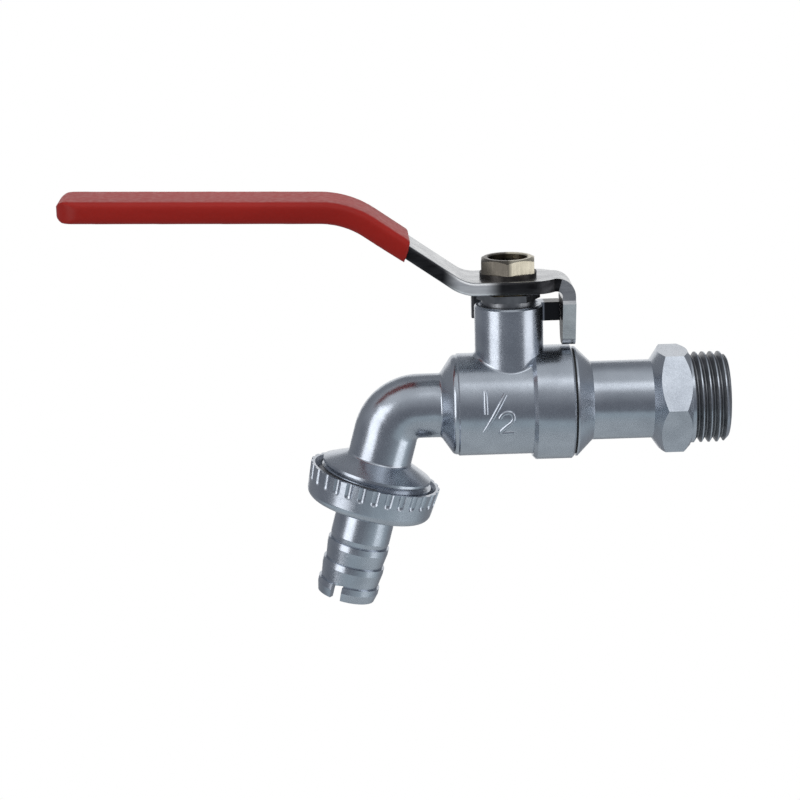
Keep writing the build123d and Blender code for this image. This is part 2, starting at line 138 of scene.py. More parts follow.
def treeMath(tree, operation, first, second):
    node = tree.nodes.new("ShaderNodeMath")
    node.operation = operation
    for index, value in enumerate((first, second)):
        if hasattr(value, "is_output"):
            tree.links.new(value, node.inputs[index])
        else:
            node.inputs[index].default_value = value
    return node.outputs[0]


# materials
def newMaterial(name):
    material = bpy.data.materials.new(name)
    material.use_nodes = True
    shader = material.node_tree.nodes["Principled BSDF"]
    place = material.node_tree.nodes.new("ShaderNodeTexCoord").outputs["Object"]
    return material, material.node_tree, shader, place


def noiseAt(tree, place, scale, detail, stretch=(1, 1, 1), turn=(0, 0, 0)):
    mapping = tree.nodes.new("ShaderNodeMapping")
    mapping.inputs["Scale"].default_value = stretch
    mapping.inputs["Rotation"].default_value = turn
    noise = tree.nodes.new("ShaderNodeTexNoise")
    noise.inputs["Scale"].default_value = scale
    noise.inputs["Detail"].default_value = detail
    tree.links.new(place, mapping.inputs["Vector"])
    tree.links.new(mapping.outputs["Vector"], noise.inputs["Vector"])
    return noise.outputs["Fac"]


def spread(tree, value, low, high, fromLow=0.3, fromHigh=0.7):
    ranged = tree.nodes.new("ShaderNodeMapRange")
    tree.links.new(value, ranged.inputs["Value"])
    limits = {"From Min": fromLow, "From Max": fromHigh, "To Min": low, "To Max": high}
    for name, number in limits.items():
        ranged.inputs[name].default_value = number
    return ranged.outputs["Result"]


def colourBetween(tree, value, dark, light, fromLow=0.3, fromHigh=0.7):
    ramp = tree.nodes.new("ShaderNodeValToRGB")
    ramp.color_ramp.elements[0].position = fromLow
    ramp.color_ramp.elements[0].color = (*dark, 1)
    ramp.color_ramp.elements[1].position = fromHigh
    ramp.color_ramp.elements[1].color = (*light, 1)
    tree.links.new(value, ramp.inputs["Fac"])
    return ramp.outputs["Color"]


def bumpFrom(tree, heights):
    normal = None
    for value, strength, depth in heights:
        bump = tree.nodes.new("ShaderNodeBump")
        bump.inputs["Strength"].default_value = strength
        bump.inputs["Distance"].default_value = depth
        tree.links.new(value, bump.inputs["Height"])
        if normal is not None:
            tree.links.new(normal, bump.inputs["Normal"])
        normal = bump.outputs["Normal"]
    return normal


chromeLook = {  # each bump has its strength and depth
    "dark": (0.43, 0.465, 0.52),
    "light": (0.53, 0.57, 0.63),
    "roughness": (0.20, 0.30),
    "cloudScale": 170,
    "waveScale": 85,
    "peelScale": 460,
    "grainScale": 2600,
    "wave": (0.30, 0.12 * mm),
    "peel": (0.15, 0.10 * mm),
    "grain": (0.05, 0.02 * mm),
    "lines": (0.12, 0.02 * mm),
}


def makeChrome(name, look, lineStretch=None, lineTurn=(0, 0, 0)):
    material, tree, shader, place = newMaterial(name)
    cloud = noiseAt(tree, place, look["cloudScale"], 4)
    wave = noiseAt(tree, place, look["waveScale"], 2)
    peel = noiseAt(tree, place, look["peelScale"], 2)
    grain = noiseAt(tree, place, look["grainScale"], 3)
    tree.links.new(colourBetween(tree, cloud, look["dark"], look["light"]), shader.inputs["Base Color"])
    tree.links.new(spread(tree, grain, *look["roughness"]), shader.inputs["Roughness"])
    heights = [(wave, *look["wave"]), (peel, *look["peel"]), (grain, *look["grain"])]
    if lineStretch is not None:
        lines = noiseAt(tree, place, look["grainScale"], 2, lineStretch, lineTurn)
        heights.append((lines, *look["lines"]))
    tree.links.new(bumpFrom(tree, heights), shader.inputs["Normal"])
    shader.inputs["Metallic"].default_value = 1.0
    return material, tree, shader, place


steelGrain = {"cloudScale": 240, "streakScale": 2200, "streaks": (0.15, 0.03 * mm)}
steelLook = {"dark": (0.46, 0.47, 0.49), "light": (0.68, 0.69, 0.70), "roughness": (0.2, 0.34)}


def makeSteel(name, look, stretch):
    material, tree, shader, place = newMaterial(name)
    cloud = noiseAt(tree, place, steelGrain["cloudScale"], 4)
    streaks = noiseAt(tree, place, steelGrain["streakScale"], 3, stretch)
    tree.links.new(colourBetween(tree, cloud, look["dark"], look["light"]), shader.inputs["Base Color"])
    tree.links.new(spread(tree, streaks, *look["roughness"]), shader.inputs["Roughness"])
    tree.links.new(bumpFrom(tree, [(streaks, *steelGrain["streaks"])]), shader.inputs["Normal"])
    shader.inputs["Metallic"].default_value = 1.0
    return material, tree, shader, place


def maskAlong(tree, place, part, low, high, centre=0.0):
    axes = tree.nodes.new("ShaderNodeSeparateXYZ")
    tree.links.new(place, axes.inputs["Vector"])
    away = treeMath(tree, "SUBTRACT", axes.outputs[part], centre)
    mask = tree.nodes.new("ShaderNodeMapRange")
    mask.interpolation_type = "SMOOTHSTEP"
    mask.inputs["From Min"].default_value = low
    mask.inputs["From Max"].default_value = high
    tree.links.new(treeMath(tree, "ABSOLUTE", away, 0.0), mask.inputs["Value"])
    return mask.outputs["Result"]


def mixColours(tree, share, first, second):
    blend = tree.nodes.new("ShaderNodeMix")
    blend.data_type = "RGBA"
    tree.links.new(share, blend.inputs["Factor"])
    colourSockets = blend.inputs[6:8]
    for socket, colour in zip(colourSockets, (first, second)):
        if hasattr(colour, "is_output"):
            tree.links.new(colour, socket)
        else:
            socket.default_value = (*colour, 1)
    return blend.outputs[2]


def overlayColour(tree, shader, mask, colour):
    below = shader.inputs["Base Color"].links[0].from_socket
    tree.links.new(mixColours(tree, mask, below, colour), shader.inputs["Base Color"])


# painted shade: the stop lug beside the boss is painted near-black where the lever's hub shades it
paintedLugShade = {
    "tone": (0.035, 0.036, 0.040),
    "from": 7.9 * mm,
    "middle": 21.2 * mm,
    "halfHeight": 2.4 * mm,
    "fadeAlong": 0.5 * mm,
    "fadeUp": 0.3 * mm,
}


def makeBodyChrome(name, look, lug):
    material, tree, shader, place = makeChrome(name, look)
    # painted shade over the stop lug, in a box beyond the boss under the lever
    beyond = maskAlong(tree, place, "X", lug["from"], lug["from"] + lug["fadeAlong"], stemAxisX)
    clear = lug["halfHeight"] + lug["fadeUp"]
    beside = maskAlong(tree, place, "Z", clear, lug["halfHeight"], lug["middle"])
    overlayColour(tree, shader, treeMath(tree, "MULTIPLY", beyond, beside), lug["tone"])
    return material


# painted shade on the lever's sheared edges: near-black with random mottling, with a painted reflection around 8.5
# mm before the stem axis
leverEdgeShadeAndGlint = {
    "dark": (0.018, 0.018, 0.020),
    "light": (0.075, 0.075, 0.08),
    "wornPlace": -8.5 * mm,
    "wornReach": (2.2 * mm, 6.8 * mm),
    "scuffScale": 520,
    "scuffStretch": (0.25, 1, 1),
    "scuffSpan": (0.35, 0.8),
}
# bright steel under the painted edge shade, left showing as a painted reflection near the hub
edgeReflectionLook = {"dark": (0.80, 0.81, 0.83), "light": (0.96, 0.96, 0.97), "roughness": (0.36, 0.5)}
# painted shade: near-black steel for the faces inside the lever's turned-down stops
stopShadeLook = {"dark": (0.030, 0.031, 0.034), "light": (0.085, 0.087, 0.092), "roughness": (0.4, 0.55)}


def makeEdgeShadeAndReflection(name, look, edges):
    material, tree, shader, place = makeSteel(name, look, (0.04, 1, 1))
    mottle = noiseAt(tree, place, edges["scuffScale"], 4, edges["scuffStretch"])
    tone = colourBetween(tree, mottle, edges["dark"], edges["light"], *edges["scuffSpan"])
    # painted reflection near its place, painted shade beyond it
    away = maskAlong(tree, place, "X", *edges["wornReach"], stemAxisX + edges["wornPlace"])
    overlayColour(tree, shader, away, tone)
    return material


brassLook = {"dark": (0.50, 0.46, 0.36), "light": (0.66, 0.61, 0.49), "roughness": (0.24, 0.38)}
# painted shade: the nut's bore is painted near-black
paintedBoreShade = {"radius": (4.4 * mm, 4.65 * mm), "tone": (0.02, 0.017, 0.013)}
# painted shade: the nut's left side (-X) is darkened towards near-black
paintedFlankShade = {"from": 0.6 * mm, "to": -0.4 * mm, "tone": (0.085, 0.075, 0.066), "share": 0.9}
stemLook = {"dark": (0.13, 0.10, 0.06), "light": (0.24, 0.19, 0.11), "roughness": (0.3, 0.45)}
# black-oxide lock washer, near-black; its tone also stands in for painted shade under the nut
washerBlackAndShadeLook = {"dark": (0.030, 0.027, 0.026), "light": (0.08, 0.074, 0.07), "roughness": (0.35, 0.55)}
# painted shade: the gland nut is darker than the chrome, for the lever's shadow over it
glandShadeLook = {"dark": (0.16, 0.165, 0.175), "light": (0.30, 0.31, 0.325), "roughness": (0.28, 0.42)}
# painted shade: dark steel for the thread grooves
grooveShadeLook = {"dark": (0.17, 0.178, 0.19), "light": (0.31, 0.32, 0.34), "roughness": (0.34, 0.48)}


def makeNutBrass(name, look, boreShade, flankShade):
    material, tree, shader, place = makeSteel(name, look, (1, 1, 0.1))
    centred = tree.nodes.new("ShaderNodeVectorMath")
    centred.operation = "SUBTRACT"
    centred.inputs[1].default_value = (stemAxisX, 0, 0)
    flat = tree.nodes.new("ShaderNodeVectorMath")
    flat.operation = "MULTIPLY"
    flat.inputs[1].default_value = (1, 1, 0)
    reach = tree.nodes.new("ShaderNodeVectorMath")
    reach.operation = "LENGTH"
    tree.links.new(place, centred.inputs[0])
    tree.links.new(centred.outputs[0], flat.inputs[0])
    tree.links.new(flat.outputs[0], reach.inputs[0])
    # painted shade inside the bore
    mask = tree.nodes.new("ShaderNodeMapRange")
    mask.inputs["From Min"].default_value = boreShade["radius"][1]
    mask.inputs["From Max"].default_value = boreShade["radius"][0]
    tree.links.new(reach.outputs["Value"], mask.inputs["Value"])
    # painted shade on the left side
    axes = tree.nodes.new("ShaderNodeSeparateXYZ")
    tree.links.new(centred.outputs[0], axes.inputs["Vector"])
    flank = spread(tree, axes.outputs["X"], 0.0, 1.0, flankShade["from"], flankShade["to"])
    overlayColour(tree, shader, treeMath(tree, "MULTIPLY", flank, flankShade["share"]), flankShade["tone"])
    overlayColour(tree, shader, mask.outputs["Result"], boreShade["tone"])
    return material


vinylLook = {
    "dark": (0.235, 0.0085, 0.0055),
    "light": (0.30, 0.012, 0.008),
    "roughness": (0.36, 0.48),
    "specular": 0.16,
    "cloudScale": 90,
    "cloudStretch": (0.3, 1, 1),
    "dimpleScale": 900,
    "grainScale": 3800,
    "dimple": (0.12, 0.08 * mm),
    "grain": (0.08, 0.02 * mm),
}


def makeVinyl(name, look):
    material, tree, shader, place = newMaterial(name)
    cloud = noiseAt(tree, place, look["cloudScale"], 4, look["cloudStretch"])
    dimple = noiseAt(tree, place, look["dimpleScale"], 2)
    grain = noiseAt(tree, place, look["grainScale"], 2)
    tree.links.new(colourBetween(tree, cloud, look["dark"], look["light"]), shader.inputs["Base Color"])
    tree.links.new(spread(tree, dimple, *look["roughness"]), shader.inputs["Roughness"])
    heights = [(dimple, *look["dimple"]), (grain, *look["grain"])]
    tree.links.new(bumpFrom(tree, heights), shader.inputs["Normal"])
    shader.inputs["Specular IOR Level"].default_value = look["specular"]
    return material


sealGrain = {"scale": 1800, "bump": (0.2, 0.03 * mm)}
rubberLook = {"dark": (0.012, 0.012, 0.012), "light": (0.03, 0.03, 0.03), "roughness": (0.5, 0.75)}
seatLook = {"dark": (0.74, 0.74, 0.72), "light": (0.85, 0.85, 0.83), "roughness": (0.4, 0.55)}


def makeSoftSeal(name, look):
    material, tree, shader, place = newMaterial(name)
    grain = noiseAt(tree, place, sealGrain["scale"], 4)
    tree.links.new(colourBetween(tree, grain, look["dark"], look["light"]), shader.inputs["Base Color"])
    tree.links.new(spread(tree, grain, *look["roughness"]), shader.inputs["Roughness"])
    tree.links.new(bumpFrom(tree, [(grain, *sealGrain["bump"])]), shader.inputs["Normal"])
    return material


ballLook = dict(chromeLook, light=(0.78, 0.79, 0.80), roughness=(0.04, 0.1))
outletTurn = (0, Vector((0, 0, -1)).angle(outletAxis), 0)
castChrome = makeChrome("castChrome", chromeLook)[0]
bodyChrome = makeBodyChrome("bodyChrome", chromeLook, paintedLugShade)
turnedChrome = makeChrome("turnedChrome", chromeLook, (1, 0.03, 0.03))[0]
tailChrome = makeChrome("tailChrome", chromeLook, (0.03, 0.03, 1), outletTurn)[0]
ballChrome = makeChrome("ballChrome", ballLook)[0]
zincSteel = makeSteel("zincSteel", steelLook, (0.04, 1, 1))[0]
shearedEdge = makeEdgeShadeAndReflection("shearedEdge", edgeReflectionLook, leverEdgeShadeAndGlint)
darkScale = makeSteel("darkScale", stopShadeLook, (1, 1, 0.1))[0]
paleBrass = makeNutBrass("paleBrass", brassLook, paintedBoreShade, paintedFlankShade)
stemBrass = makeSteel("stemBrass", stemLook, (1, 1, 0.1))[0]
glandSteel = makeSteel("glandSteel", glandShadeLook, (1, 1, 0.2))[0]
oiledThread = makeSteel("oiledThread", grooveShadeLook, (0.2, 1, 1))[0]
oiledSpringSteel = makeSteel("oiledSpringSteel", washerBlackAndShadeLook, (1, 1, 1))[0]
dippedVinyl = makeVinyl("dippedVinyl", vinylLook)
blackRubber = makeSoftSeal("blackRubber", rubberLook)
seatPlastic = makeSoftSeal("seatPlastic", seatLook)

finishes = {
    "valve_body": bodyChrome,
    "inlet_connector": turnedChrome,
    "union_nut": castChrome,
    "hose_tail": tailChrome,
    "ball": ballChrome,
    "stem": stemBrass,
    "gland_nut": glandSteel,
    "lever_arm": zincSteel,
    "grip_sleeve": dippedVinyl,
    "lever_nut": paleBrass,
    "lock_washer": oiledSpringSteel,
    "downstream_seat": seatPlastic,
    "upstream_seat": seatPlastic,
    "stem_thrust_washer": seatPlastic,
    "lower_packing_ring": seatPlastic,
    "upper_packing_ring": seatPlastic,
    "stem_o_ring": blackRubber,
    "hose_washer": blackRubber,
    "body_joint_seal": blackRubber,
}
for nodeName, material in finishes.items():
    cadNodes[nodeName].material_slots[0].material = material
print("finishes on:", len(finishes), "nodes")


# screw threads, cut with a V groove that follows a helix; the groove faces get a dark steel finish, painted shade
# in the thread's valleys
grooveShape = {  # root width in pitches, height and centre in depths, least size at its run-out
    "root": 0.12,
    "height": 1.15,
    "centre": -0.425,
    "least": 0.05,
}


def buildThreadTree():
    tree, given, result = newTree("threadGroove", [
        ("Radius", "NodeSocketFloat", 0.01),
        ("Pitch", "NodeSocketFloat", 0.0018),
        ("Turns", "NodeSocketFloat", 6.0),
        ("Depth", "NodeSocketFloat", 0.001),
        ("Mouth Share", "NodeSocketFloat", 0.97),
        ("Run Out", "NodeSocketFloat", 0.08),
        ("Steps", "NodeSocketInt", 72),
        ("Material", "NodeSocketMaterial", None),
    ])
    helix = tree.nodes.new("GeometryNodeCurveSpiral")
    helix.inputs["Reverse"].default_value = True  # right-handed
    upright = tree.nodes.new("GeometryNodeSetCurveNormal")
    upright.mode = "Z_UP"
    profile = tree.nodes.new("GeometryNodeCurvePrimitiveQuadrilateral")
    profile.mode = "TRAPEZOID"
    profile.inputs["Offset"].default_value = 0
    turned = tree.nodes.new("GeometryNodeTransform")
    turned.inputs["Rotation"].default_value = (0, 0, radians(-90))  # mouth outwards
    sunk = tree.nodes.new("ShaderNodeCombineXYZ")
    taper = tree.nodes.new("GeometryNodeSetCurveRadius")
    along = tree.nodes.new("GeometryNodeSplineParameter")
    sweep = tree.nodes.new("GeometryNodeCurveToMesh")
    sweep.inputs["Fill Caps"].default_value = True
    paint = tree.nodes.new("GeometryNodeSetMaterial")
    realize = tree.nodes.new("GeometryNodeRealizeInstances")
    mouthWidth = treeMath(tree, "MULTIPLY", given.outputs["Pitch"], given.outputs["Mouth Share"])
    rise = treeMath(tree, "MULTIPLY", given.outputs["Pitch"], given.outputs["Turns"])
    ramp = treeMath(tree, "DIVIDE", along.outputs["Factor"], given.outputs["Run Out"])
    capped = treeMath(tree, "MINIMUM", ramp, 1.0)
    grown = treeMath(tree, "MAXIMUM", capped, grooveShape["least"])
    rootWidth = treeMath(tree, "MULTIPLY", given.outputs["Pitch"], grooveShape["root"])
    grooveHeight = treeMath(tree, "MULTIPLY", given.outputs["Depth"], grooveShape["height"])
    grooveCentre = treeMath(tree, "MULTIPLY", given.outputs["Depth"], grooveShape["centre"])
    for source, target in (
        (given.outputs["Steps"], helix.inputs["Resolution"]),
        (given.outputs["Turns"], helix.inputs["Rotations"]),
        (given.outputs["Radius"], helix.inputs["Start Radius"]),
        (given.outputs["Radius"], helix.inputs["End Radius"]),
        (rise, helix.inputs["Height"]),
        (mouthWidth, profile.inputs["Top Width"]),
        (rootWidth, profile.inputs["Bottom Width"]),
        (grooveHeight, profile.inputs["Height"]),
        (grooveCentre, sunk.inputs["X"]),
        (sunk.outputs["Vector"], turned.inputs["Translation"]),
        (helix.outputs["Curve"], upright.inputs["Curve"]),
        (upright.outputs["Curve"], taper.inputs["Curve"]),
        (grown, taper.inputs["Radius"]),
        (profile.outputs["Curve"], turned.inputs["Geometry"]),
        (taper.outputs["Curve"], sweep.inputs["Curve"]),
        (turned.outputs["Geometry"], sweep.inputs["Profile Curve"]),
        (sweep.outputs["Mesh"], realize.inputs["Geometry"]),
        (realize.outputs["Geometry"], paint.inputs["Geometry"]),
        (given.outputs["Material"], paint.inputs["Material"]),
        (paint.outputs["Geometry"], result.inputs["Geometry"]),
    ):
        tree.links.new(source, target)
    return tree


threadTree = buildThreadTree()


def grooveCutter(sizes, origin, axis, material):
    groove = linkObject("grooveCutter", bpy.data.meshes.new("grooveCutter"))
    modifier = groove.modifiers.new("groove", "NODES")
    modifier.node_group = threadTree
    for name, value in sizes.items():
        setInput(modifier, name, value)
    setInput(modifier, "Material", material)
    bakeModifiers(groove)
    groove.data.transform(axisMatrix(origin, axis))
    return faceOutwards(groove)


def cutThread(piece, groove):
    cut = piece.modifiers.new("thread", "BOOLEAN")
    cut.operation = "DIFFERENCE"
    cut.solver = "EXACT"
    cut.material_mode = "TRANSFER"
    cut.object = groove
    bakeModifiers(piece)
    bpy.data.objects.remove(groove)
    return piece


pipePitch = 1.814 * mm
# where each thread starts on its axis, from the hexagon's end and from the outlet
threadStart = {"inlet": 0.7 * mm, "union": -6.4 * mm}
inletThread = {
    "Radius": mounts["inlet_thread"]["dims"]["r_mm"] * mm,
    "Pitch": pipePitch,
    "Turns": 5.3,
    "Depth": 1.05 * mm,
    "Mouth Share": 0.97,
    "Run Out": 0.07,
    "Steps": 84,
}
hexagonLead = {
    "start": -8.5 * mm,
    "length": 3.9 * mm,
    "slack": 0.05 * mm,
    "share": 0.70,
    "tubeRadius": 9.05 * mm,
}
threadedConnector = weldedCopy("inlet_connector", "threadedConnector")
for vertex in threadedConnector.data.vertices:  # the hexagon's lead cone, a little steeper
    along = vertex.co.x - hexagonLead["start"]
    onLead = 0 < along < hexagonLead["length"] + hexagonLead["slack"]
    if onLead and vertex.co.yz.length > hexagonLead["tubeRadius"]:
        vertex.co.x = hexagonLead["start"] + along * hexagonLead["share"]
inletStart = Vector((threadStart["inlet"], 0, 0))
cutThread(threadedConnector, grooveCutter(inletThread, inletStart, (1, 0, 0), oiledThread))
shadeByAngle(threadedConnector, sharpFrom["turned"])
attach(threadedConnector, "tap_body")
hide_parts("inlet_connector")
print("inlet thread cut:", len(threadedConnector.data.polygons), "faces")


unionThread = {
    "Radius": 13.22 * mm,
    "Pitch": pipePitch,
    "Turns": 2.3,
    "Depth": 0.95 * mm,
    "Mouth Share": 0.97,
    "Run Out": 0.10,
    "Steps": 96,
}
threadedBody = weldedCopy("valve_body", "threadedBody")
unionStart = outletPoint + threadStart["union"] * outletAxis  # just under the flange on the spout's end
cutThread(threadedBody, grooveCutter(unionThread, unionStart, outletAxis, oiledThread))
shadeByAngle(threadedBody, sharpFrom["turned"])
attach(threadedBody, "tap_body")
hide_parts("valve_body")
print("union thread cut:", len(threadedBody.data.polygons), "faces")


# pressed lever, bright on its faces; painted shade on its sheared edges and inside its turned-down stops, with a
# painted reflection on the edges near the hub
leverPress = {"edgeFrom": 0.5, "darkUntil": 11.4 * mm, "stopsBelow": 24.6 * mm}
pressedLever = shadeByAngle(weldedCopy("lever_arm", "pressedLever"), sharpFrom["pressed"])
pressedLever.data.materials.append(shearedEdge)
pressedLever.data.materials.append(darkScale)
for face in pressedLever.data.polygons:
    onTab = face.center.x > stemAxisX + leverPress["darkUntil"]
    if face.center.z < leverPress["stopsBelow"]:
        inward = -face.normal.x if onTab else -face.normal.y
        if inward > leverPress["edgeFrom"]:
            face.material_index = 2
    elif abs(face.normal.y) > leverPress["edgeFrom"] and not onTab:
        face.material_index = 1
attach(pressedLever, "lever_set")
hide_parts("lever_arm")
print("lever pressed:", len(pressedLever.data.polygons), "faces")


# the red sleeve, softened as a dipped skin with a blunt bullet tip and an upright mouth
sleeveSkin = {"voxel": 0.42 * mm, "smoothing": 8, "ease": 0.5}
sleeveTip = {"length": 2.8 * mm, "bluntness": 0.86}
sleeveMouth = {"slope": radians(30), "reach": 6 * mm, "lower": 1.6 * mm, "rim": 1 * mm}


def shapeSleeve(mesh):
    tipX = min(vertex.co.x for vertex in mesh.vertices)
    tipUntil = tipX + 2 * sleeveTip["length"]
    heights = [vertex.co.z for vertex in mesh.vertices if vertex.co.x < tipUntil]
    middle = (min(heights) + max(heights)) / 2
    half = (max(heights) - min(heights)) / 2
    slope = sleeveMouth["slope"]
    downArm = Vector((cos(slope), 0, -sin(slope)))
    acrossArm = Vector((sin(slope), 0, cos(slope)))
    mouth = max(vertex.co.dot(downArm) for vertex in mesh.vertices)
    rimFrom = mouth - sleeveMouth["rim"]
    rim = [vertex.co.dot(acrossArm) for vertex in mesh.vertices if vertex.co.dot(downArm) > rimFrom]
    low, high = min(rim), max(rim)
    for vertex in mesh.vertices:
        fromTip = vertex.co.x - tipX
        if fromTip < sleeveTip["length"]:
            share = (1 - fromTip / sleeveTip["length"]) ** 2
            room = half * (1 - sleeveTip["bluntness"] * share) ** 0.5
            vertex.co.z = middle + max(-room, min(room, vertex.co.z - middle))
        fromMouth = mouth - vertex.co.dot(downArm)
        if fromMouth < sleeveMouth["reach"]:
            underside = (high - vertex.co.dot(acrossArm)) / (high - low)
            nearness = 1 - fromMouth / sleeveMouth["reach"]
            vertex.co += downArm * sleeveMouth["lower"] * nearness * underside


softSleeve = weldedCopy("grip_sleeve", "softSleeve")
skin = softSleeve.modifiers.new("skin", "REMESH")
skin.mode = "VOXEL"
skin.voxel_size = sleeveSkin["voxel"]
skin.use_smooth_shade = True
ease = softSleeve.modifiers.new("ease", "SMOOTH")
ease.factor = sleeveSkin["ease"]
ease.iterations = sleeveSkin["smoothing"]
bakeModifiers(softSleeve)
shapeSleeve(softSleeve.data)
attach(softSleeve, "lever_set")
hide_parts("grip_sleeve")
print("sleeve softened:", len(softSleeve.data.polygons), "faces")


# raised half-inch size mark, drawn flat and wrapped round the barrel
sizeMark = {
    "Barrel Radius": 11.8 * mm,
    "Stroke Radius": 0.62 * mm,
    "Sunk": 0.3 * mm,
}
markStrokes = [  # along the barrel from the stem axis, and up round it from level, in millimetres
    [(-6.3, 5.9), (-6.25, 3.2), (-6.2, 0.4)],
    [(-1.7, 4.9), (-4.2, 0.4), (-6.7, -4.0)],
    [(-3.1, -0.7), (-2.5, 0.6), (-0.2, 0.7), (0.1, -1.4),
     (-1.8, -2.9), (-3.4, -4.5), (-1.7, -4.5), (0.1, -4.4)],
]
markSweep = {"points": 40, "sides": 14, "endSize": 0.4, "endSlope": 12.0}  # thinner at the ends


def buildMarkTree():
    tree, given, result = newTree("wrappedStroke", [
        ("Barrel Radius", "NodeSocketFloat", 0.01),
        ("Stroke Radius", "NodeSocketFloat", 0.0005),
        ("Sunk", "NodeSocketFloat", 0.0002),
        ("Material", "NodeSocketMaterial", None),
    ])
    smooth = tree.nodes.new("GeometryNodeResampleCurve")
    smooth.inputs["Count"].default_value = markSweep["points"]
    flat = tree.nodes.new("ShaderNodeSeparateXYZ")
    wrapped = tree.nodes.new("ShaderNodeCombineXYZ")
    wrap = tree.nodes.new("GeometryNodeSetPosition")
    circle = tree.nodes.new("GeometryNodeCurvePrimitiveCircle")
    circle.inputs["Resolution"].default_value = markSweep["sides"]
    taper = tree.nodes.new("GeometryNodeSetCurveRadius")
    along = tree.nodes.new("GeometryNodeSplineParameter")
    sweep = tree.nodes.new("GeometryNodeCurveToMesh")
    sweep.inputs["Fill Caps"].default_value = True
    realize = tree.nodes.new("GeometryNodeRealizeInstances")
    paint = tree.nodes.new("GeometryNodeSetMaterial")
    angle = treeMath(tree, "DIVIDE", flat.outputs["Y"], given.outputs["Barrel Radius"])
    radius = treeMath(tree, "SUBTRACT", given.outputs["Barrel Radius"], given.outputs["Sunk"])
    front = treeMath(tree, "MULTIPLY", treeMath(tree, "COSINE", angle, 0.0), radius)
    fromEnd = treeMath(tree, "SUBTRACT", 1.0, along.outputs["Factor"])
    nearest = treeMath(tree, "MINIMUM", along.outputs["Factor"], fromEnd)
    growth = treeMath(tree, "MULTIPLY", nearest, markSweep["endSlope"])
    ramp = treeMath(tree, "ADD", growth, markSweep["endSize"])
    for source, target in (
        (given.outputs["Geometry"], smooth.inputs["Curve"]),
        (smooth.outputs["Curve"], wrap.inputs["Geometry"]),
        (tree.nodes.new("GeometryNodeInputPosition").outputs["Position"], flat.inputs["Vector"]),
        (treeMath(tree, "ADD", flat.outputs["X"], stemAxisX), wrapped.inputs["X"]),
        (treeMath(tree, "MULTIPLY", front, -1.0), wrapped.inputs["Y"]),
        (treeMath(tree, "MULTIPLY", treeMath(tree, "SINE", angle, 0.0), radius), wrapped.inputs["Z"]),
        (wrapped.outputs["Vector"], wrap.inputs["Position"]),
        (wrap.outputs["Geometry"], taper.inputs["Curve"]),
        (treeMath(tree, "MINIMUM", ramp, 1.0), taper.inputs["Radius"]),
        (taper.outputs["Curve"], sweep.inputs["Curve"]),
        (given.outputs["Stroke Radius"], circle.inputs["Radius"]),
        (circle.outputs["Curve"], sweep.inputs["Profile Curve"]),
        (sweep.outputs["Mesh"], realize.inputs["Geometry"]),
        (realize.outputs["Geometry"], paint.inputs["Geometry"]),
        (given.outputs["Material"], paint.inputs["Material"]),
        (paint.outputs["Geometry"], result.inputs["Geometry"]),
    ):
        tree.links.new(source, target)
    return tree


markCurve = bpy.data.curves.new("sizeMark", "CURVE")
markCurve.dimensions = "3D"
for stroke in markStrokes:
    spline = markCurve.splines.new("NURBS")
    spline.points.add(len(stroke) - 1)
    for point, (along, around) in zip(spline.points, stroke):
        point.co = (along * mm, around * mm, 0, 1)
    spline.order_u = 3
    spline.use_endpoint_u = True
markGuide = bpy.data.objects.new("markGuide", markCurve)
bpy.context.scene.collection.objects.link(markGuide)
wrapMark = markGuide.modifiers.new("mark", "NODES")
wrapMark.node_group = buildMarkTree()
for name, value in sizeMark.items():
    setInput(wrapMark, name, value)
setInput(wrapMark, "Material", castChrome)
wrappedGuide = markGuide.evaluated_get(bpy.context.evaluated_depsgraph_get())
markMesh = bpy.data.meshes.new_from_object(wrappedGuide)
bpy.data.objects.remove(markGuide)
raisedMark = linkObject("raisedMark", markMesh)
faceOutwards(raisedMark)
shadeByAngle(raisedMark, sharpFrom["mark"])
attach(raisedMark, "tap_body")
print("size mark raised:", len(raisedMark.data.polygons), "faces")


# floor, white surround, light tent and lamps
floorSizes = {
    "drop": 0.30,
    "solidRadius": 0.22,
    "radius": 0.55,
    "segments": 96,
    "tone": (0.52, 0.55, 0.56),
    "roughness": 0.9,
}
roomTone = (0.48, 0.49, 0.50)


def makeFloor():
    lowest, highest = cadBounds
    centre = (Vector(lowest) + Vector(highest)) / 2
    mesh = bpy.data.meshes.new("floor")
    shape = bmesh.new()
    outline = {"segments": floorSizes["segments"], "radius": floorSizes["radius"]}
    bmesh.ops.create_circle(shape, cap_ends=True, **outline)
    shape.to_mesh(mesh)
    shape.free()
    floor = linkObject("floor", mesh)
    floor.location = (centre.x, centre.y, lowest[2] - floorSizes["drop"])
    material, tree, shader, place = newMaterial("paleFloor")
    shader.inputs["Base Color"].default_value = (*floorSizes["tone"], 1)
    shader.inputs["Roughness"].default_value = floorSizes["roughness"]
    length = tree.nodes.new("ShaderNodeVectorMath")
    length.operation = "LENGTH"
    tree.links.new(place, length.inputs[0])
    fade = tree.nodes.new("ShaderNodeMapRange")  # the floor fades out into the white surround
    fade.interpolation_type = "SMOOTHSTEP"
    fade.inputs["From Min"].default_value = floorSizes["radius"]
    fade.inputs["From Max"].default_value = floorSizes["solidRadius"]
    tree.links.new(length.outputs["Value"], fade.inputs["Value"])
    tree.links.new(fade.outputs["Result"], shader.inputs["Alpha"])
    floor.data.materials.append(material)


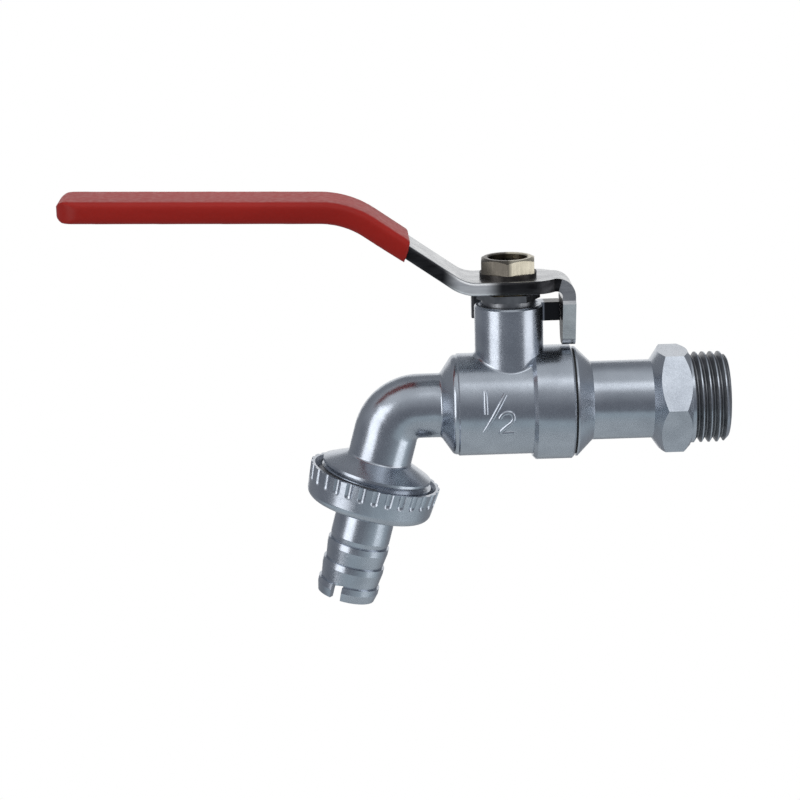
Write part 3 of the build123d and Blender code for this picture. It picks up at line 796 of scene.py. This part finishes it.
def makeWorld():
    world = bpy.data.worlds.new("studio")
    bpy.context.scene.world = world
    world.use_nodes = True
    tree = world.node_tree
    room = tree.nodes["Background"]
    room.inputs["Color"].default_value = (*roomTone, 1)
    white = tree.nodes.new("ShaderNodeBackground")
    white.inputs["Color"].default_value = (1, 1, 1, 1)
    ray = tree.nodes.new("ShaderNodeLightPath")
    shown = treeMath(tree, "MAXIMUM", ray.outputs["Is Camera Ray"], ray.outputs["Is Glossy Ray"])
    shown = treeMath(tree, "MAXIMUM", shown, ray.outputs["Is Transmission Ray"])
    either = tree.nodes.new("ShaderNodeMixShader")
    tree.links.new(shown, either.inputs["Fac"])
    tree.links.new(room.outputs["Background"], either.inputs[1])
    tree.links.new(white.outputs["Background"], either.inputs[2])
    tree.links.new(either.outputs["Shader"], tree.nodes["World Output"].inputs["Surface"])


# grey light tent, open at the back, that only the metal's reflections see
lightTent = {
    "radius": 0.9,
    "openFrom": 0.90,
    "tones": [  # height from straight down to straight up, and the cloth's tone there
        (0.00, (0.40, 0.46, 0.49)),
        (0.285, (0.48, 0.55, 0.585)),
        (0.315, (0.19, 0.20, 0.225)),
        (0.53, (0.21, 0.22, 0.245)),
        (0.75, (0.42, 0.435, 0.46)),
        (0.90, (0.68, 0.70, 0.72)),
        (1.00, (0.62, 0.64, 0.66)),
    ],
    "backTone": (0.27, 0.28, 0.30),
    "backFrom": (0.0, 0.65),
}


def makeTent():
    mesh = bpy.data.meshes.new("lightTent")
    shape = bmesh.new()
    bmesh.ops.create_uvsphere(shape, u_segments=64, v_segments=32, radius=lightTent["radius"])
    opening = [face for face in shape.faces
               if face.calc_center_median().y > lightTent["openFrom"] * lightTent["radius"]]
    bmesh.ops.delete(shape, geom=opening, context="FACES")
    bmesh.ops.reverse_faces(shape, faces=shape.faces)
    shape.to_mesh(mesh)
    shape.free()
    tent = linkObject("lightTent", mesh)
    tent.location = (stemAxisX, 0, 0)
    material = bpy.data.materials.new("tentCloth")
    material.use_nodes = True
    tree = material.node_tree
    tree.nodes.remove(tree.nodes["Principled BSDF"])
    glow = tree.nodes.new("ShaderNodeEmission")
    axes = tree.nodes.new("ShaderNodeSeparateXYZ")
    tree.links.new(tree.nodes.new("ShaderNodeTexCoord").outputs["Object"], axes.inputs["Vector"])
    height = spread(tree, axes.outputs["Z"], 0.0, 1.0, -lightTent["radius"], lightTent["radius"])
    ramp = tree.nodes.new("ShaderNodeValToRGB")
    tones = ramp.color_ramp.elements
    while len(tones) < len(lightTent["tones"]):
        tones.new(1.0)
    for element, (position, tone) in zip(tones, lightTent["tones"]):
        element.position = position
        element.color = (*tone, 1)
    tree.links.new(height, ramp.inputs["Fac"])
    behind = tree.nodes.new("ShaderNodeMapRange")
    behind.interpolation_type = "SMOOTHSTEP"
    behind.inputs["From Min"].default_value = lightTent["backFrom"][0] * lightTent["radius"]
    behind.inputs["From Max"].default_value = lightTent["backFrom"][1] * lightTent["radius"]
    tree.links.new(axes.outputs["Y"], behind.inputs["Value"])
    cloth = mixColours(tree, behind.outputs["Result"], ramp.outputs["Color"], lightTent["backTone"])
    tree.links.new(cloth, glow.inputs["Color"])
    tree.links.new(glow.outputs["Emission"], tree.nodes["Material Output"].inputs["Surface"])
    mesh.materials.append(material)
    tent.visible_camera = False
    tent.visible_diffuse = False
    tent.visible_shadow = False


softBoxes = {  # azimuth from the camera side, heights and span in degrees, then distance and radiance
    "leftStrip": {
        "azimuth": -54, "low": -20, "high": 38, "span": 36,
        "reach": 0.75, "glow": 1.8, "glossy": True,
    },
    "rightStrip": {
        "azimuth": 66, "low": -38, "high": 28, "span": 36,
        "reach": 0.50, "glow": 1.3, "glossy": True,
    },
    "frontTop": {
        "azimuth": 31, "low": 38, "high": 62, "span": 30,
        "reach": 0.60, "glow": 0.9, "glossy": True,
    },
    "overhead": {
        "azimuth": 0, "low": 60, "high": 120, "span": 60,
        "reach": 0.80, "glow": 2.0, "glossy": False,
    },
}


def makeLights():
    target = Vector((stemAxisX, 0, 0))
    for name, box in softBoxes.items():
        azimuth, low, high, span = (radians(box[part]) for part in ("azimuth", "low", "high", "span"))
        middle = (low + high) / 2
        lamp = bpy.data.lights.new(name, "AREA")
        lamp.shape = "RECTANGLE"
        lamp.size = 2 * box["reach"] * sin(span / 2)
        lamp.size_y = 2 * box["reach"] * sin((high - low) / 2)
        lamp.energy = box["glow"] * lamp.size * lamp.size_y * pi
        light = bpy.data.objects.new(name, lamp)
        outward = Vector((sin(azimuth) * cos(middle), -cos(azimuth) * cos(middle), sin(middle)))
        light.location = target + box["reach"] * outward
        light.rotation_euler = (-outward).to_track_quat("-Z", "Y").to_euler()
        light.visible_camera = False
        light.visible_glossy = box["glossy"]  # the overhead one lights the vinyl and rubber only
        bpy.context.scene.collection.objects.link(light)


cameraView = {
    "lens": 112.5,
    "sensor": 36,
    "place": (-0.0399, -0.5577, 0.1406),  # from the stem's axis
    "yaw": 1.5,
    "pitch": 14.0,
    "roll": -1.48,
}


def makeCamera():
    yaw, pitch, roll = (radians(cameraView[name]) for name in ("yaw", "pitch", "roll"))
    forward = Vector((sin(yaw) * cos(pitch), cos(yaw) * cos(pitch), -sin(pitch)))
    levelRight = forward.cross(Vector((0, 0, 1))).normalized()
    levelUp = levelRight.cross(forward)
    right = cos(roll) * levelRight + sin(roll) * levelUp
    up = -sin(roll) * levelRight + cos(roll) * levelUp
    data = bpy.data.cameras.new("camera")
    data.lens = cameraView["lens"]
    data.sensor_width = cameraView["sensor"]
    camera = bpy.data.objects.new("camera", data)
    turn = Matrix((right, up, -forward)).transposed().to_4x4()
    place = Vector(cameraView["place"]) + Vector((stemAxisX, 0, 0))
    camera.matrix_world = Matrix.Translation(place) @ turn
    bpy.context.scene.collection.objects.link(camera)
    bpy.context.scene.camera = camera


makeFloor()
makeWorld()
makeTent()
makeLights()
makeCamera()
bpy.context.scene.view_settings.view_transform = "Standard"
print("stage set")
